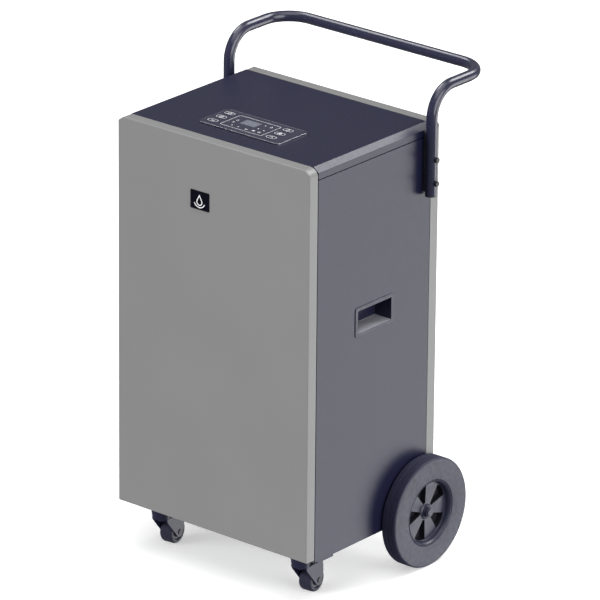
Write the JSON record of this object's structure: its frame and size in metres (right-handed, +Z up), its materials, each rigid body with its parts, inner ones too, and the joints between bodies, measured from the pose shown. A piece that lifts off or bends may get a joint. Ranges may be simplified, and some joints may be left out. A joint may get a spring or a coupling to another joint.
{
  "type": "dehumidifier",
  "caption": "Tall upright cabinet dehumidifier with a push handle, spoked rear wheels, swivel front casters, side grips and a key panel on top.",
  "frame": {"origin": "on the floor, under the middle of the machine's overall box (push handle and badge included)", "axes": "+Z up, front panel faces -Y, +X to the right of a person facing the rear panel from the front"},
  "size_m": [0.5506, 0.5284, 0.9891],
  "materials": {
    "front_grey": "fine powder coat, light grey",
    "shell_navy": "fine powder coat, dark blue grey",
    "handle_navy": "satin dark blue powder coat on steel tube",
    "black_steel": "black bolts",
    "zinc": "zinc plated steel",
    "tyre": "solid rubber, fine matte",
    "rim": "moulded plastic, fine texture",
    "caster": "moulded plastic wheel",
    "grip_plastic": "moulded plastic",
    "bezel": "bright anodised edge",
    "overlay": "printed membrane",
    "key": "soft key tops",
    "display": "smoked display window",
    "badge": "plain dark plate",
    "board": "circuit board",
    "copper": "copper pipe",
    "coil": "finned aluminium",
    "compressor": "black enamel",
    "rubber": "soft rubber",
    "galvanised": "galvanised sheet",
    "plastic_black": "moulded plastic",
    "filter": "woven filter medium"
  },
  "bodies": {
    "cabinet": {"front_panel": "front_grey", "rear_panel": "front_grey", "top_cover": "shell_navy", "left_side_panel": "shell_navy", "right_side_panel": "shell_navy", "base_pan": "galvanised", "corner_posts": "galvanised", "mid_deck": "galvanised", "panel_screws": "black_steel", "push_handle": "handle_navy", "handle_bolts": "black_steel", "handle_spacers": "rubber", "handle_plugs": "plastic_black", "wheel_axle": "zinc", "axle_brackets": "galvanised", "axle_nuts": "plastic_black", "caster_plates": "handle_navy", "caster_bolts": "zinc", "left_grip": "grip_plastic", "right_grip": "grip_plastic", "badge": "badge", "control_bezel": "bezel", "control_overlay": "overlay", "display_window": "display", "control_board": "board", "compressor": "compressor", "compressor_feet": "rubber", "suction_accumulator": "compressor", "evaporator": "coil", "condenser": "coil", "refrigerant_lines": "copper", "filter_drier": "copper", "drip_tray": "plastic_black", "drain_hose": "rubber", "drain_spigot": "plastic_black", "fan_motor": "compressor", "fan_shroud": "galvanised", "humidity_sensor": "plastic_black", "outlet_grille": "plastic_black", "cord_gland": "plastic_black", "electrical_box": "galvanised"},
    "air_filter": {"intake_grille": "plastic_black", "filter_media": "filter"},
    "fan": {"fan_impeller": "plastic_black"},
    "left_wheel": {"left_wheel_rim": "rim", "left_wheel_tyre": "tyre"},
    "left_caster_swivel_body": {"left_caster_fork": "handle_navy", "left_caster_axle": "black_steel"},
    "left_caster_wheel_body": {"left_caster_wheel": "caster"},
    "right_wheel": {"right_wheel_rim": "rim", "right_wheel_tyre": "tyre"},
    "right_caster_swivel_body": {"right_caster_fork": "handle_navy", "right_caster_axle": "black_steel"},
    "right_caster_wheel_body": {"right_caster_wheel": "caster"},
    "key_power_cap": {"key_power": "key"},
    "key_timer_cap": {"key_timer": "key"},
    "key_down_cap": {"key_down": "key"},
    "key_mode_cap": {"key_mode": "key"},
    "key_fan_cap": {"key_fan": "key"},
    "key_up_cap": {"key_up": "key"}
  },
  "joints": [
    {"name": "left_wheel_spin", "type": "hinge", "parent": "cabinet", "child": "left_wheel", "pos_m": [-0.2583, 0.0743, 0.112], "axis": [1, 0, 0], "continuous": true},
    {"name": "left_caster_swivel", "type": "hinge", "parent": "cabinet", "child": "left_caster_swivel_body", "pos_m": [-0.178, -0.2042, 0.08], "axis": [0, 0, 1], "continuous": true},
    {"name": "left_caster_roll", "type": "hinge", "parent": "left_caster_swivel_body", "child": "left_caster_wheel_body", "pos_m": [-0.18263, -0.16648, 0.025], "axis": [0.9925, 0.1219, 0], "continuous": true},
    {"name": "right_wheel_spin", "type": "hinge", "parent": "cabinet", "child": "right_wheel", "pos_m": [0.2583, 0.0743, 0.112], "axis": [1, 0, 0], "continuous": true},
    {"name": "right_caster_swivel", "type": "hinge", "parent": "cabinet", "child": "right_caster_swivel_body", "pos_m": [0.178, -0.2042, 0.08], "axis": [0, 0, 1], "continuous": true},
    {"name": "right_caster_roll", "type": "hinge", "parent": "right_caster_swivel_body", "child": "right_caster_wheel_body", "pos_m": [0.17337, -0.16648, 0.025], "axis": [0.9925, 0.1219, 0], "continuous": true},
    {"name": "fan_spin", "type": "hinge", "parent": "cabinet", "child": "fan", "pos_m": [0, -0.0282, 0.605], "axis": [0, 1, 0], "continuous": true},
    {"name": "filter_slide", "type": "slide", "parent": "cabinet", "child": "air_filter", "axis": [0, 1, 0], "range_m": [0, 0.06]},
    {"name": "key_power_press", "type": "slide", "parent": "cabinet", "child": "key_power_cap", "axis": [0, 0, -1], "range_m": [0, 0.0012], "stiffness_N_per_m": 400, "springref_m": -0.002},
    {"name": "key_timer_press", "type": "slide", "parent": "cabinet", "child": "key_timer_cap", "axis": [0, 0, -1], "range_m": [0, 0.0012], "stiffness_N_per_m": 400, "springref_m": -0.002},
    {"name": "key_down_press", "type": "slide", "parent": "cabinet", "child": "key_down_cap", "axis": [0, 0, -1], "range_m": [0, 0.0012], "stiffness_N_per_m": 400, "springref_m": -0.002},
    {"name": "key_mode_press", "type": "slide", "parent": "cabinet", "child": "key_mode_cap", "axis": [0, 0, -1], "range_m": [0, 0.0012], "stiffness_N_per_m": 400, "springref_m": -0.002},
    {"name": "key_fan_press", "type": "slide", "parent": "cabinet", "child": "key_fan_cap", "axis": [0, 0, -1], "range_m": [0, 0.0012], "stiffness_N_per_m": 400, "springref_m": -0.002},
    {"name": "key_up_press", "type": "slide", "parent": "cabinet", "child": "key_up_cap", "axis": [0, 0, -1], "range_m": [0, 0.0012], "stiffness_N_per_m": 400, "springref_m": -0.002}
  ]
}
